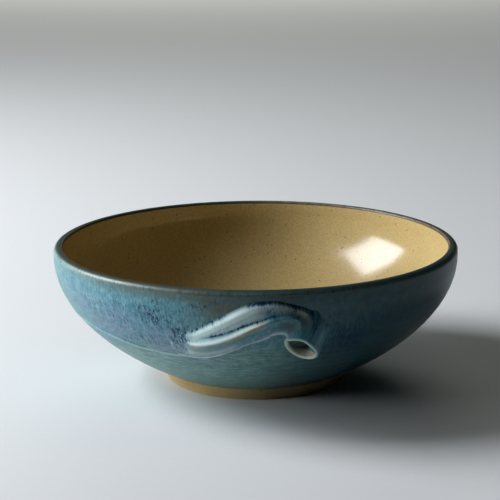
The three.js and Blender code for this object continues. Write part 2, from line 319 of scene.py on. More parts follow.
# Liner glaze. A buff glaze poured over the inside and out again: glossy and slightly rippled,
# with iron specks that bleed through from the clay.
def buff_liner():
    """Glossy buff stoneware glaze: smooth enough to mirror the window softly, with a grain of about a
    millimetre and rarer brown specks, drawn as coarse as they need to show."""
    finish = new_finish("buff_liner_glaze")
    place = add(finish, "ShaderNodeTexCoord", {}, {})
    here = (place, "Object")
    cloud = add(finish, "ShaderNodeTexNoise", {}, {"Vector": here, "Scale": 14.0, "Detail": 3.0})
    body = add(
        finish, "ShaderNodeMix", {"data_type": "RGBA"},
        {"Factor": (cloud, "Fac"), "A": colour("#ae9763"), "B": colour("#bda774")},
    )
    grain = add(finish, "ShaderNodeTexNoise", {}, {"Vector": here, "Scale": 700.0, "Detail": 3.0})
    mottled = add(
        finish, "ShaderNodeMix", {"data_type": "RGBA", "blend_type": "MULTIPLY"},
        {
            "Factor": 0.5,
            "A": body,
            "B": add(
                finish, "ShaderNodeMapRange", {},
                {"Value": (grain, "Fac"), "From Min": 0.35, "From Max": 0.65, "To Min": 0.72, "To Max": 1.15},
            ),
        },
    )
    speck = add(finish, "ShaderNodeTexVoronoi", {}, {"Vector": here, "Scale": 260.0})
    dot = add(
        finish, "ShaderNodeMapRange", {},
        {"Value": (speck, "Distance"), "From Min": 0.08, "From Max": 0.2, "To Min": 1.0, "To Max": 0.0},
    )
    chance = add(finish, "ShaderNodeSeparateColor", {}, {"Color": (speck, "Color")})
    rare = add(
        finish, "ShaderNodeMath", {"operation": "GREATER_THAN"},
        {0: (chance, "Red"), 1: 0.72},
    )
    iron = add(finish, "ShaderNodeMath", {"operation": "MULTIPLY"}, {0: dot, 1: rare})
    speckled = add(
        finish, "ShaderNodeMix", {"data_type": "RGBA"},
        {"Factor": iron, "A": mottled, "B": colour("#5e4524")},
    )
    ripple = add(finish, "ShaderNodeTexNoise", {}, {"Vector": here, "Scale": 90.0, "Detail": 2.0})
    bump = add(
        finish, "ShaderNodeBump", {},
        {"Height": (ripple, "Fac"), "Strength": 0.12, "Distance": 0.0006},
    )
    rough = add(
        finish, "ShaderNodeMapRange", {},
        {"Value": (cloud, "Fac"), "To Min": 0.13, "To Max": 0.24},
    )
    surface = add(
        finish, "ShaderNodeBsdfPrincipled", {},
        {"Base Color": speckled, "Roughness": rough, "Normal": bump, "IOR": 1.48},
    )
    add(finish, "ShaderNodeOutputMaterial", {}, {"Surface": surface})
    return finish


def liner_section(steps=150):
    """The coat's section: against the clay up to the lip, over its edge, and back down the inside."""
    under = np.concatenate([inner_face(coat_thickness, 60), lip_face(coat_thickness, 8)[-1:]])
    over = np.concatenate([lip_face(0, 8)[-1:], inner_face(0, steps)[::-1]])
    return np.concatenate([under, over])


section = liner_section()
points, faces = turned(section[:, :1], section[:, 1:], 256)
liner_coat = piece("liner_coat", points, faces, buff_liner())
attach(liner_coat, "root")
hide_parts("liner_glaze")


# Outer glaze. A rutile blue glaze dipped over the outside, from just above the foot to the lip.
# It runs down in fine streaks, goes brown where it is thin, and pools dark blue in hollows.
outer_turns = 480
throwing_ring_depth = 0.0001
throwing_rings = 17
lower_edge_rounding = 0.0009
ragged_edge = 0.001


def spot(offset, climb, centre, reach, tilt=0.0):
    """A soft spot on the wall: one at its centre (metres round the rim, climb share), falling off over
    its reach (metres along, metres up), turned by tilt degrees."""
    along, up = offset - centre[0], (climb - centre[1]) * wall_length
    c, s = math.cos(math.radians(tilt)), math.sin(math.radians(tilt))
    return np.exp(-(((along * c + up * s) / reach[0]) ** 2) - ((up * c - along * s) / reach[1]) ** 2)


def spots(offset, climb, *places):
    """The strongest of several soft spots."""
    return np.max([size * spot(offset, climb, *place) for size, *place in places], axis=0)


def rise(values, start, width):
    """A soft step from none to one, half way up at the start."""
    return 1 / (1 + np.exp(-(values - start) / width))


def wall_marks(offset, climb, azimuth):
    """What the glaze does at each point of the wall: where rutile turns it lavender, where blue pools,
    where it is thin and brown, where it goes sage green, where painted shade darkens it to near-black
    teal (to the right of each handle and above it by the lip, away from the window), and the place its
    streaks follow. Spots and soft steps over metres round the rim and share of the climb. The steps fade
    where the front half meets the back half, so that the two join without a line."""
    lavender = spots(
        offset, climb,
        (0.7, (-0.118, 0.74), (0.034, 0.016), 14),
        (0.9, (-0.070, 0.68), (0.020, 0.014), 0),
        (0.5, (-0.150, 0.84), (0.030, 0.014), 10),
        (0.7, (-0.042, 0.55), (0.016, 0.005), 0),
    )
    pooled = spots(
        offset, climb,
        (0.45, (-0.110, 0.80), (0.050, 0.030), 10),
        (0.8, (-0.072, 0.86), (0.022, 0.014), -15),
        (0.9, (-0.056, 0.74), (0.012, 0.018), 0),
        (0.7, (-0.090, 0.68), (0.022, 0.008), 0),
        (0.7, (-0.035, 0.95), (0.018, 0.004), 15),
        (1.0, (0.062, 0.76), (0.010, 0.018), 20),
        (1.3, (0.070, 0.70), (0.018, 0.020), 0),
        (1.0, (0.058, 0.64), (0.014, 0.012), 0),
        (0.8, (0.085, 0.82), (0.026, 0.012), 0),
        (0.5, (0.120, 0.78), (0.040, 0.020), 0),
        (0.5, (-0.010, 0.66), (0.012, 0.008), 0),
        (0.45, (0.0, 0.45), (0.080, 0.010), 0),
    )
    ends = rise(-offset, -0.19, 0.012)
    lip_band = rise(climb, 0.962, 0.007) * rise(offset, -0.13, 0.014) * ends
    patch = spots(
        offset, climb,
        (1.0, (-0.020, 0.945), (0.022, 0.010), 12),
        (0.8, (0.004, 0.985), (0.030, 0.006), 0),
    )
    # Painted shade: the wall to the right of each handle, and above the handle by the lip, is darkened to
    # near-black teal because it lies away from the window.
    right_side = rise(offset, 0.022, 0.016) * ends
    above_handle = rise(offset, -0.012, 0.012) * rise(climb, 0.94, 0.012) * ends
    deep = np.maximum(right_side, above_handle)
    sage_line = 0.575 + 0.11 * rise(offset, -0.1, 0.02) - 0.2 * rise(-offset, 0.16, 0.02)
    sage = np.maximum(rise(-climb, -sage_line, 0.02), 0.65 * rise(-offset, 0.14, 0.02) * ends)
    place = np.stack(
        [rim_radius * np.sin(azimuth), -rim_radius * np.cos(azimuth), climb * wall_length], axis=-1
    )
    thin = np.clip(0.7 * lip_band + patch, 0, 1) * (1 - 0.85 * deep)
    return {
        "lavender": lavender, "pooled": pooled, "thin": thin, "deep": deep, "sage": sage, "wall_place": place,
    }


def laid_over(finish, base, layers):
    """Colours laid over one another. Each covers what is under it by a mark times a share, and the
    share goes from least to most as a pattern's value goes from one limit to the other."""
    for mark, value, (low, high), (least, most), over in layers:
        share = add(
            finish, "ShaderNodeMapRange", {},
            {"Value": value, "From Min": low, "From Max": high, "To Min": least, "To Max": most},
        )
        cover = add(finish, "ShaderNodeMath", {"operation": "MULTIPLY"}, {0: mark, 1: share})
        base = add(
            finish, "ShaderNodeMix", {"data_type": "RGBA"},
            {"Factor": cover, "A": base, "B": over},
        )
    return base


def rutile_blue():
    """Rutile blue stoneware glaze, satin: a mottle of blue and sea green in fine runs down the wall,
    milky where it breaks over an edge, ink blue where it pools, olive brown where it is thin. Over that it
    carries painted light: pale painted highlights on slopes that face the window, near-black teal painted
    shade where light does not reach, and cream painted light on the lit side of the curl's bore. The
    runs are a millimetre or two wide, and its fine crystals dull the mirror light."""
    finish = new_finish("rutile_blue_glaze")
    mark = {
        name: (add(finish, "ShaderNodeAttribute", {"attribute_name": name}, {}), "Fac")
        for name in ("lavender", "pooled", "thin", "sage", "deep", "broken", "cream")
    }
    place = (add(finish, "ShaderNodeAttribute", {"attribute_name": "wall_place"}, {}), "Vector")
    down = add(finish, "ShaderNodeMapping", {}, {"Vector": place, "Scale": [1.0, 1.0, 0.45]})
    along_rim = add(finish, "ShaderNodeMapping", {}, {"Vector": place, "Scale": [0.14, 0.14, 1.0]})
    cloud, mottle, feather, lines, fleck = [
        (add(
            finish, "ShaderNodeTexNoise", {},
            {"Vector": vector, "Scale": scale, "Detail": detail, "Roughness": roughness},
        ), "Fac")
        for vector, scale, detail, roughness in (
            (place, 32.0, 4.0, 0.6),
            (place, 170.0, 5.0, 0.65),
            (down, 620.0, 4.0, 0.7),
            (along_rim, 620.0, 3.0, 0.6),
            (down, 560.0, 4.0, 0.75),
        )
    ]
    runs = add(
        finish, "ShaderNodeMix", {"data_type": "RGBA"},
        {"Factor": mark["sage"], "A": feather, "B": lines},
    )
    patchy = add(
        finish, "ShaderNodeMapRange", {},
        {"Value": mottle, "From Min": 0.35, "From Max": 0.65},
    )
    # The last of these, near-black teal, is the colour of the painted shade.
    blue, teal, sage, deep = [
        add(
            finish, "ShaderNodeMix", {"data_type": "RGBA"},
            {"Factor": patchy, "A": colour(first), "B": colour(second)},
        )
        for first, second in (
            ("#346d80", "#578b99"), ("#3c717f", "#5b9097"), ("#4a716c", "#6a918a"), ("#0b2b33", "#19464e"),
        )
    ]
    flecked = add(
        finish, "ShaderNodeMath", {"operation": "MULTIPLY_ADD", "use_clamp": True},
        {0: mark["pooled"], 1: 0.14, 2: fleck},
    )
    dark = add(
        finish, "ShaderNodeMapRange", {},
        {"Value": flecked, "From Min": 0.6, "From Max": 0.68},
    )
    depth = add(
        finish, "ShaderNodeMath", {"operation": "MULTIPLY_ADD", "use_clamp": True},
        {0: mark["pooled"], 1: 1.1, 2: 0.15},
    )
    ink = add(finish, "ShaderNodeMath", {"operation": "MULTIPLY"}, {0: dark, 1: depth})
    base = laid_over(finish, blue, (
        (1.0, cloud, (0.42, 0.6), (0.0, 1.0), teal),
        (mark["sage"], 1.0, (0.0, 1.0), (0.0, 1.0), sage),
        (mark["lavender"], mottle, (0.35, 0.6), (0.15, 0.85), colour("#787d9c")),
        (1.0, runs, (0.52, 0.72), (0.0, 0.6), colour("#8fb4b8")),
        (1.0, runs, (0.5, 0.3), (0.0, 0.6), colour("#24586d")),
        # Painted shade: near-black teal laid over the parts that light does not reach.
        (mark["deep"], 1.0, (0.0, 1.0), (0.0, 0.94), deep),
        # Pale where the glaze breaks over an edge, and painted highlights where slopes face the window.
        (mark["broken"], feather, (0.2, 0.5), (0.75, 1.0), colour("#c3d6d2")),
        (mark["thin"], mottle, (0.3, 0.6), (0.55, 1.0), colour("#4c4a33")),
        (ink, 1.0, (0.0, 1.0), (0.0, 1.0), colour("#0b2b47")),
        # Cream round the curl's rim, and cream painted light on the lit side of its bore.
        (mark["cream"], mottle, (0.3, 0.6), (1.0, 0.6), colour("#c9c3a2")),
    ))
    bump = add(
        finish, "ShaderNodeBump", {},
        {"Height": feather, "Strength": 0.15, "Distance": 0.0003},
    )
    rough = add(
        finish, "ShaderNodeMapRange", {},
        {"Value": mottle, "From Min": 0.3, "From Max": 0.7, "To Min": 0.3, "To Max": 0.46},
    )
    surface = add(
        finish, "ShaderNodeBsdfPrincipled", {},
        {"Base Color": base, "Roughness": rough, "Normal": bump, "IOR": 1.5, "Specular IOR Level": 0.32},
    )
    add(finish, "ShaderNodeOutputMaterial", {}, {"Surface": surface})
    return finish


outer_finish = rutile_blue()


def outer_rows():
    """The coat's section, row by row: from the clay's face out round the ragged lower edge, up the
    wall with shallow throwing rings, and back down against the clay."""
    turn = np.linspace(0, 2 * np.pi, outer_turns, endpoint=False)[None, :]
    waves = 0.56 * np.sin(3 * turn + 1) + 0.32 * np.sin(11 * turn) + 0.16 * np.sin(29 * turn)
    edge = np.clip(0.88 + waves, 0.2, None) * ragged_edge
    share = np.linspace(0, 1, 150)[:, None]
    climb = edge / wall_length + (1 - edge / wall_length) * share
    rings = throwing_ring_depth * (0.5 - 0.5 * np.cos(2 * np.pi * climb * throwing_rings + turn))
    rings *= np.sin(np.pi * share) ** 0.5
    rounding = 0.8 * coat_thickness * np.clip(1 - share * wall_length / lower_edge_rounding, 0, 1) ** 2
    outside = wall(climb, -rings - rounding)
    back = np.linspace(1, 0, 50)[:, None]
    inside = wall(edge / wall_length + (1 - edge / wall_length) * back, -coat_thickness)
    return np.concatenate([outside[0], inside[0]]), np.concatenate([outside[1], inside[1]])


points, faces = turned(*outer_rows(), outer_turns)
marks = wall_marks(*chart(points), np.arctan2(points[:, 0], -points[:, 1]))
marks["broken"] = marks["cream"] = 0 * marks["thin"]
outer_coat = piece("outer_coat", points, faces, outer_finish, **marks)
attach(outer_coat, "root")
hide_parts("outer_glaze")


# Lip glaze. Where liner and outer glaze overlap they flux each other: grey green on top, with a
# thin tan line and an iron brown edge towards the inside, where the glaze runs off the lip.
def lip_overlap():
    """Overlapped stoneware glazes, satin: minty on the outer edge, partly glaze breaking and partly a
    painted highlight, then mottled grey green with short dark dashes across the lip, then tan in a thin
    line and brown next to the liner. Painted shade darkens it on the side away from the window."""
    finish = new_finish("lip_overlap_glaze")
    across, deep, light = [
        (add(finish, "ShaderNodeAttribute", {"attribute_name": name}, {}), "Fac")
        for name in ("across", "deep", "light")
    ]
    place = (add(finish, "ShaderNodeAttribute", {"attribute_name": "wall_place"}, {}), "Vector")
    cloud = (add(
        finish, "ShaderNodeTexNoise", {},
        {"Vector": place, "Scale": 150.0, "Detail": 5.0, "Roughness": 0.7},
    ), "Fac")
    wander = add(
        finish, "ShaderNodeMapRange", {},
        {"Value": cloud, "To Min": -0.1, "To Max": 0.1},
    )
    where = add(finish, "ShaderNodeMath", {"operation": "ADD"}, {0: across, 1: wander})
    ramp = add(finish, "ShaderNodeValToRGB", {}, {"Fac": where})
    stops = ramp.color_ramp.elements
    # The lighter stop at 0.2 is the outer arris: glaze breaking there, with a painted highlight.
    for position, code in (
        (0.0, "#46504a"), (0.2, "#5d6a62"), (0.3, "#46504a"), (0.7, "#414840"),
        (0.84, "#8d7762"), (0.9, "#5e4c38"), (1.0, "#4a3a2a"),
    ):
        stop = stops.new(position) if position not in (0.0, 1.0) else stops[0 if position == 0.0 else -1]
        stop.color = colour(code)
    lengths = add(finish, "ShaderNodeMapping", {}, {"Vector": place, "Scale": [1.0, 1.0, 0.3]})
    streaks = (add(
        finish, "ShaderNodeTexNoise", {},
        {"Vector": lengths, "Scale": 520.0, "Detail": 3.0, "Roughness": 0.6},
    ), "Fac")
    shade = laid_over(finish, ramp, (
        (1.0, cloud, (0.4, 0.62), (0.0, 0.55), colour("#37423a")),
        # Mint on the outer arris, partly a painted highlight.
        (light, across, (0.38, 0.25), (0.0, 1.0), colour("#7d9a94")),
        (1.0, streaks, (0.5, 0.62), (0.0, 0.65), colour("#2f3a32")),
        # Painted shade: darker on the side away from the window.
        (deep, 1.0, (0.0, 1.0), (0.0, 0.75), colour("#1d3536")),
    ))
    bump = add(
        finish, "ShaderNodeBump", {},
        {"Height": cloud, "Strength": 0.1, "Distance": 0.0004},
    )
    surface = add(
        finish, "ShaderNodeBsdfPrincipled", {},
        {"Base Color": shade, "Roughness": 0.4, "Normal": bump, "IOR": 1.5},
    )
    add(finish, "ShaderNodeOutputMaterial", {}, {"Surface": surface})
    return finish


lip_pattern_length = 0.01
over, under = lip_face(0, 12), lip_face(coat_thickness, 8)[::-1]
section = np.concatenate([over, under])
points, faces = turned(section[:, :1], section[:, 1:], outer_turns)
run = np.concatenate([[0], np.cumsum(np.hypot(*np.diff(over, axis=0).T))])
across = np.repeat(np.concatenate([run / run[-1], np.linspace(1, 0, len(under))]), outer_turns)
azimuth = np.arctan2(points[:, 0], -points[:, 1])
place = np.stack(
    [rim_radius * np.sin(azimuth), -rim_radius * np.cos(azimuth), across * lip_pattern_length], axis=1
)
marks = wall_marks(chart(points)[0], np.ones(len(points)), azimuth)
# Mint on the arris, glaze breaking with a painted highlight, except where the glaze is thin and brown.
light = np.clip(1 - 1.25 * marks["thin"], 0, 1) * 0.8
lip_coat = piece(
    "lip_coat", points, faces, lip_overlap(),
    across=across, wall_place=place, deep=marks["deep"], light=light,
)
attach(lip_coat, "root")
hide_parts("lip_glaze")


# Handles. A strap of clay pulled by hand, laid on the wall as a wave and pressed down along its
# edges, with its right end rolled into an open curl. It is glazed with the bowl, front and back.
# Each rail runs the strap's length: its shares of the climb, then its millimetres off the wall.
millimetre = 0.001
stations = millimetre * np.array(
    [-66, -62, -58, -54, -51, -46, -38, -28, -18, -8, 2, 12, 22, 32, 38, 44, 50, 55]
)
rails = [
    ("thin lower edge",
     [.67, .612, .6, .598, .597, .599, .607, .635, .676, .724, .762, .802, .815, .8, .77, .71, .68, .67],
     [0, 1, 1.3, 1.5, 1.7, 1.9, 2, 2, 2, 2.2, 3.2, 4.6, 5, 5, 3, .5, 0, 0]),
    ("flange",
     [.68, .626, .617, .62, .622, .624, .633, .657, .694, .738, .778, .812, .83, .815, .79, .74, .7, .685],
     [0, .8, 1, 1.3, 1.8, 2.2, 2.5, 2.8, 3.1, 3.4, 3.9, 4.6, 5.4, 6, 5, 1.5, .2, 0]),
    ("under slope",
     [.69, .655, .655, .662, .668, .677, .682, .704, .735, .778, .814, .841, .852, .837, .82, .775, .72, .7],
     [0, .7, .9, 1.2, 2.2, 4.1, 4.9, 5, 5, 5, 5, 5.1, 5.9, 6.9, 6.5, 3, .6, 0]),
    ("second ridge",
     [.7, .68, .7, .712, .716, .723, .74, .765, .797, .837, .876, .899, .906, .877, .85, .8, .74, .715],
     [0, .5, .7, 1.1, 2.8, 5, 7.1, 8.3, 8.7, 9, 9, 8.6, 8.2, 7.6, 6.6, 3.6, .8, 0]),
    ("groove",
     [.71, .695, .72, .742, .747, .751, .769, .794, .824, .861, .886, .91, .915, .89, .862, .815, .757, .73],
     [0, .3, .5, 1, 2.6, 3.7, 4.4, 5.2, 5.6, 5.8, 6, 5.9, 5.8, 5.6, 4.9, 2.8, .6, 0]),
    ("first ridge",
     [.72, .71, .735, .756, .759, .764, .794, .838, .879, .919, .951, .961, .948, .922, .885, .834, .775,
      .745],
     [0, .1, .3, .8, 2.4, 3.2, 3.7, 4.1, 4.2, 3.9, 3.3, 2.8, 2.9, 3, 2.8, 1.8, .4, 0]),
    ("upper edge",
     [.735, .73, .752, .77, .775, .788, .827, .87, .914, .953, .971, .973, .956, .934, .908, .855, .795, .76],
     [0, 0, 0, .1, .2, .3, .3, .3, .3, .3, .3, .3, .3, .3, .3, .2, 0, 0]),
]
rail_names = [name for name, _, _ in rails]
hook_line = np.array([
    [-.0652, .684], [-.0656, .659], [-.0646, .63], [-.062, .61], [-.0573, .6], [-.0502, .597],
    [-.0407, .603], [-.0335, .615], [-.024, .65], [-.0172, .68], [-.0086, .722], [-.0033, .739],
    [.0036, .77], [.0088, .795],
])
hook_relief = 0.0009
hook_half_width = 0.0008
hook_fade_rate = 9
edge_round_below = 0.0011
edge_round_above = 0.0022
outside_share = 0.2
rail_table_reach = 0.07
curl_offset = 0.035
curl_climb = 0.755
curl_outer = 0.0126
curl_bore = 0.0096
curl_reach = 0.0102
curl_tilt_aside = math.radians(31)
curl_tilt_down = math.radians(15)
curl_lean_reach = 0.0084
flank_steepness = 1.7
wide_flank_base, wide_flank_growth = 0.0024, 0.5
narrow_flank_base, narrow_flank_growth = 0.0006, 0.05
narrow_flank_angle = 0.35
fillet_width = 0.008
fillet_start = 0.0015
seat_depth = 0.0012
hidden_depth = 0.0004


def on_wall(offset, climb, proud=0.0):
    """A point of the front wall: metres round the rim turned to an angle, at a share of the climb."""
    radius, height = wall(climb, proud)
    azimuth = offset / rim_radius
    across, forward = radius * np.sin(azimuth), -radius * np.cos(azimuth)
    return np.stack(np.broadcast_arrays(across, forward, height), axis=-1)


def wall_outward(offset, climb):
    """The wall's outward direction there: from the wall to a point one millimetre proud of it."""
    return (on_wall(offset, climb, millimetre) - on_wall(offset, climb)) / millimetre


def bend(x, places, values):
    """Smooth interpolation over uneven places, row by row: cubics whose slope at each place is the
    harmonic mean of the slopes on its two sides, and none at a crest or a hollow, so that they never
    run past the values. Flat beyond the first and the last place."""
    step = np.diff(places, axis=-1)
    slope = np.diff(values, axis=-1) / step
    before, after = slope[..., :-1], slope[..., 1:]
    same_way = before * after > 0
    middle = np.where(same_way, 2 * before * after / np.where(same_way, before + after, 1), 0)
    zero = np.zeros(middle.shape[:-1] + (1,))
    tangent = np.concatenate([zero, middle, zero], axis=-1)
    i = np.clip((x[..., None] >= places).sum(-1) - 1, 0, places.shape[-1] - 2)[..., None]
    p0, p1 = np.take_along_axis(places, i, -1), np.take_along_axis(places, i + 1, -1)
    v0, v1 = np.take_along_axis(values, i, -1), np.take_along_axis(values, i + 1, -1)
    m0, m1 = np.take_along_axis(tangent, i, -1), np.take_along_axis(tangent, i + 1, -1)
    h = p1 - p0
    t = np.clip((x[..., None] - p0) / h, 0, 1)
    value = (
        (2 * t**3 - 3 * t**2 + 1) * v0
        + (t**3 - 2 * t**2 + t) * h * m0
        + (-2 * t**3 + 3 * t**2) * v1
        + (t**3 - t**2) * h * m1
    )
    return value[..., 0]


def along_stations(offset, rows):
    """Values given at the stations, read at any offset: one for each row of the table."""
    places = np.broadcast_to(stations, offset.shape + stations.shape)
    spread = [np.broadcast_to(row, places.shape) for row in rows]
    return np.stack([bend(offset, places, row) for row in spread], axis=-1)


rail_offsets = np.linspace(-rail_table_reach, rail_table_reach, 1401)
within = np.clip(rail_offsets, stations[0], stations[-1])
rail_climbs = along_stations(within, [row for _, row, _ in rails])
rail_heights = along_stations(within, [row for _, _, row in rails]) * millimetre


def rails_at(offset):
    """Climb and height of every rail where the strap passes an offset. At its ends it sinks in."""
    climbs = np.stack([np.interp(offset, rail_offsets, row) for row in rail_climbs.T], axis=-1)
    heights = np.stack([np.interp(offset, rail_offsets, row) for row in rail_heights.T], axis=-1)
    return climbs, heights - hidden_depth * (heights <= 0)


def line_distance(offset, climb, line):
    """Distance over the wall to the nearest point of a line, and the share of its points passed there."""
    here = np.stack([offset, climb * wall_length], axis=-1)
    nodes = line * np.array([1, wall_length])
    nearest, share = np.full(offset.shape, 1.0), np.zeros(offset.shape)
    for i, (a, b) in enumerate(zip(nodes[:-1], nodes[1:])):
        t = np.clip(((here - a) @ (b - a)) / ((b - a) @ (b - a)), 0, 1)
        away = np.linalg.norm(here - a - t[..., None] * (b - a), axis=-1)
        share = np.where(away < nearest, (i + t) / (len(nodes) - 1), share)
        nearest = np.minimum(away, nearest)
    return nearest, share


def strap_height(offset, climb):
    """How far the strap stands off the wall: a smooth section through the rails, sinking under the glaze
    outside, with a thin raised line along its lower edge that hooks upwards at the left."""
    climbs, heights = rails_at(offset)
    under = climbs[..., :1] - edge_round_below / wall_length
    over = climbs[..., -1:] + edge_round_above / wall_length
    sunk = np.full_like(under, -hidden_depth)
    places = np.concatenate([under - outside_share, under, climbs, over, over + outside_share], axis=-1)
    values = np.concatenate([sunk, sunk, heights, sunk, sunk], axis=-1)
    away, share = line_distance(offset, climb, hook_line)
    line = hook_relief * np.exp(-((away / hook_half_width) ** 2)) * np.clip(share * hook_fade_rate, 0, 1)
    return bend(climb, places, values) + line


curl_base = on_wall(np.array(curl_offset), np.array(curl_climb))
curl_out = wall_outward(np.array(curl_offset), np.array(curl_climb))
curl_azimuth = curl_offset / rim_radius
curl_aside = np.array([-math.cos(curl_azimuth), -math.sin(curl_azimuth), 0])
curl_down = np.cross(curl_out, curl_aside)
curl_axis = curl_out + curl_aside * math.tan(curl_tilt_aside) + curl_down * math.tan(curl_tilt_down)
curl_axis /= np.linalg.norm(curl_axis)
curl_right = -curl_aside - np.dot(-curl_aside, curl_axis) * curl_axis
curl_right /= np.linalg.norm(curl_right)
curl_up = np.cross(curl_axis, curl_right)
curl_rise = np.dot(curl_axis, curl_out)
mouth_round = (curl_outer - curl_bore) / 2
mouth_middle = curl_bore + mouth_round


def about_curl(points):
    """Places seen along the curl's axis: how far along it, how far from it, and at what angle."""
    away = points - curl_base
    along = away @ curl_axis
    right, up = away @ curl_right, away @ curl_up
    return along, np.hypot(right, up), np.arctan2(up, right)


def chart_below(away, angle):
    """Chart place of the wall seen along the curl's axis at a distance and an angle from it. Starts
    from the curl's own place and steps along the wall until the place is met: each step solves the
    miss in a line, from its change over a small step along and a small step up."""
    goal = away[..., None] * np.stack([np.cos(angle), np.sin(angle)], axis=-1)
    offset, climb = np.full(angle.shape, curl_offset), np.full(angle.shape, curl_climb)

    def miss(o, c):
        gap = on_wall(o, c) - curl_base
        return np.stack([gap @ curl_right, gap @ curl_up], axis=-1) - goal

    step_along, step_up = 1e-5, 1e-4
    for _ in range(8):
        m = miss(offset, climb)
        along = (miss(offset + step_along, climb) - m) / step_along
        up = (miss(offset, climb + step_up) - m) / step_up
        size = along[..., 0] * up[..., 1] - along[..., 1] * up[..., 0]
        offset = offset - (m[..., 0] * up[..., 1] - m[..., 1] * up[..., 0]) / size
        climb = climb - (along[..., 0] * m[..., 1] - along[..., 1] * m[..., 0]) / size
    return offset, climb


rim_angles = np.linspace(-math.pi, math.pi, 361)
rim_foot, _, _ = about_curl(on_wall(*chart_below(np.full_like(rim_angles, curl_outer), rim_angles)))
rim_heights = (curl_reach - mouth_round / 2 - rim_foot) * curl_rise
rightward = np.clip(np.cos(rim_angles - narrow_flank_angle), 0, 1) ** 2
wide_flank = wide_flank_base + wide_flank_growth * rim_heights
narrow_flank = narrow_flank_base + narrow_flank_growth * rim_heights
flank_widths = wide_flank + (narrow_flank - wide_flank) * rightward


def rim_at(angle):
    """Where the curl's rounded rim starts: its lean outwards, its distance from the axis, its level
    along the axis, its height off the wall and the width of the flank that falls away from it."""
    height = np.interp(angle, rim_angles, rim_heights)
    width = np.interp(angle, rim_angles, flank_widths)
    lean = np.arctan2(curl_rise * width, flank_steepness * height)
    away = mouth_middle + mouth_round * np.cos(lean)
    level = curl_reach - mouth_round + mouth_round * np.sin(lean)
    height = (level - np.interp(angle, rim_angles, rim_foot)) * curl_rise
    return lean, away, level, height, width


def curl_height(offset, climb):
    """How far the curl's outer side stands off the wall: it leaves the rim steeply and runs out
    level at the flank's foot."""
    _, away, angle = about_curl(on_wall(offset, climb))
    _, rim, _, height, width = rim_at(angle)
    t = np.clip((away - rim) / width, 0, 1)
    flank = height * (2 * t**3 - 3 * t**2 + 1 - flank_steepness * (t**3 - 2 * t**2 + t))
    return flank - hidden_depth * t


def blend_up(first, second, width):
    """The larger of two heights, with a fillet where they cross above the glaze."""
    near = np.clip(width - np.abs(first - second), 0, None) / width
    both_out = np.clip(np.minimum(first, second) / fillet_start, 0, 1)
    return np.maximum(first, second) + near**2 * width / 4 * both_out


def handle_height(offset, climb):
    """The strap and the curl together, with a soft fillet between them."""
    return blend_up(strap_height(offset, climb), curl_height(offset, climb), fillet_width)


def handle_point(offset, climb, height):
    """A point over the wall. Near the curl, height is measured along the curl's axis, so that its
    sides stand parallel to it."""
    base = on_wall(offset, climb)
    _, away, _ = about_curl(base)
    t = np.clip((curl_outer + curl_lean_reach - away) / curl_lean_reach, 0, 1)
    lean = (t * t * (3 - 2 * t))[..., None]
    out = wall_outward(offset, climb)
    slant = curl_axis / (out @ curl_axis)[..., None]
    return base + height[..., None] * (out + lean * (slant - out))


def grid_faces(place):
    """Quads of a grid of point numbers whose columns run right and rows run up."""
    corners = [place[:-1, :-1], place[:-1, 1:], place[1:, 1:], place[1:, :-1]]
    return np.stack(corners, axis=2).reshape(-1, 4)


low_rows, rail_rows, high_rows = 34, 12, 8
grid_columns = np.linspace(-0.0685, 0.067, 350)
low_offsets = np.array([-0.06, -0.045, -0.03, -0.01, 0.01, 0.02, 0.05, 0.06])
low_climbs = np.array([0.585, 0.565, 0.57, 0.62, 0.62, 0.59, 0.59, 0.61])
least_margin_below = 0.0025
margin_above = 0.0045
highest_climb = 0.9975


def handle_grid():
    """Chart places of a grid that follows the rails: columns along the strap, rows across it."""
    climbs, _ = rails_at(grid_columns)
    low = np.interp(grid_columns, low_offsets, low_climbs)
    low = np.minimum(low, climbs[:, 0] - least_margin_below / wall_length)
    high = np.minimum(climbs[:, -1] + margin_above / wall_length, highest_climb)
    spans = [(low, climbs[:, 0], low_rows)]
    spans += [(climbs[:, r], climbs[:, r + 1], rail_rows) for r in range(len(rails) - 1)]
    spans += [(climbs[:, -1], high, high_rows)]
    rows = np.array([a + (b - a) * (k / n) for a, b, n in spans for k in range(n)] + [high])
    return np.broadcast_to(grid_columns, rows.shape), rows


block_sides = [0.0065, 0.0655]
block_low_row = 3
bore_floor_radius = 0.93 * curl_bore
bore_floor_proud = 0.0003


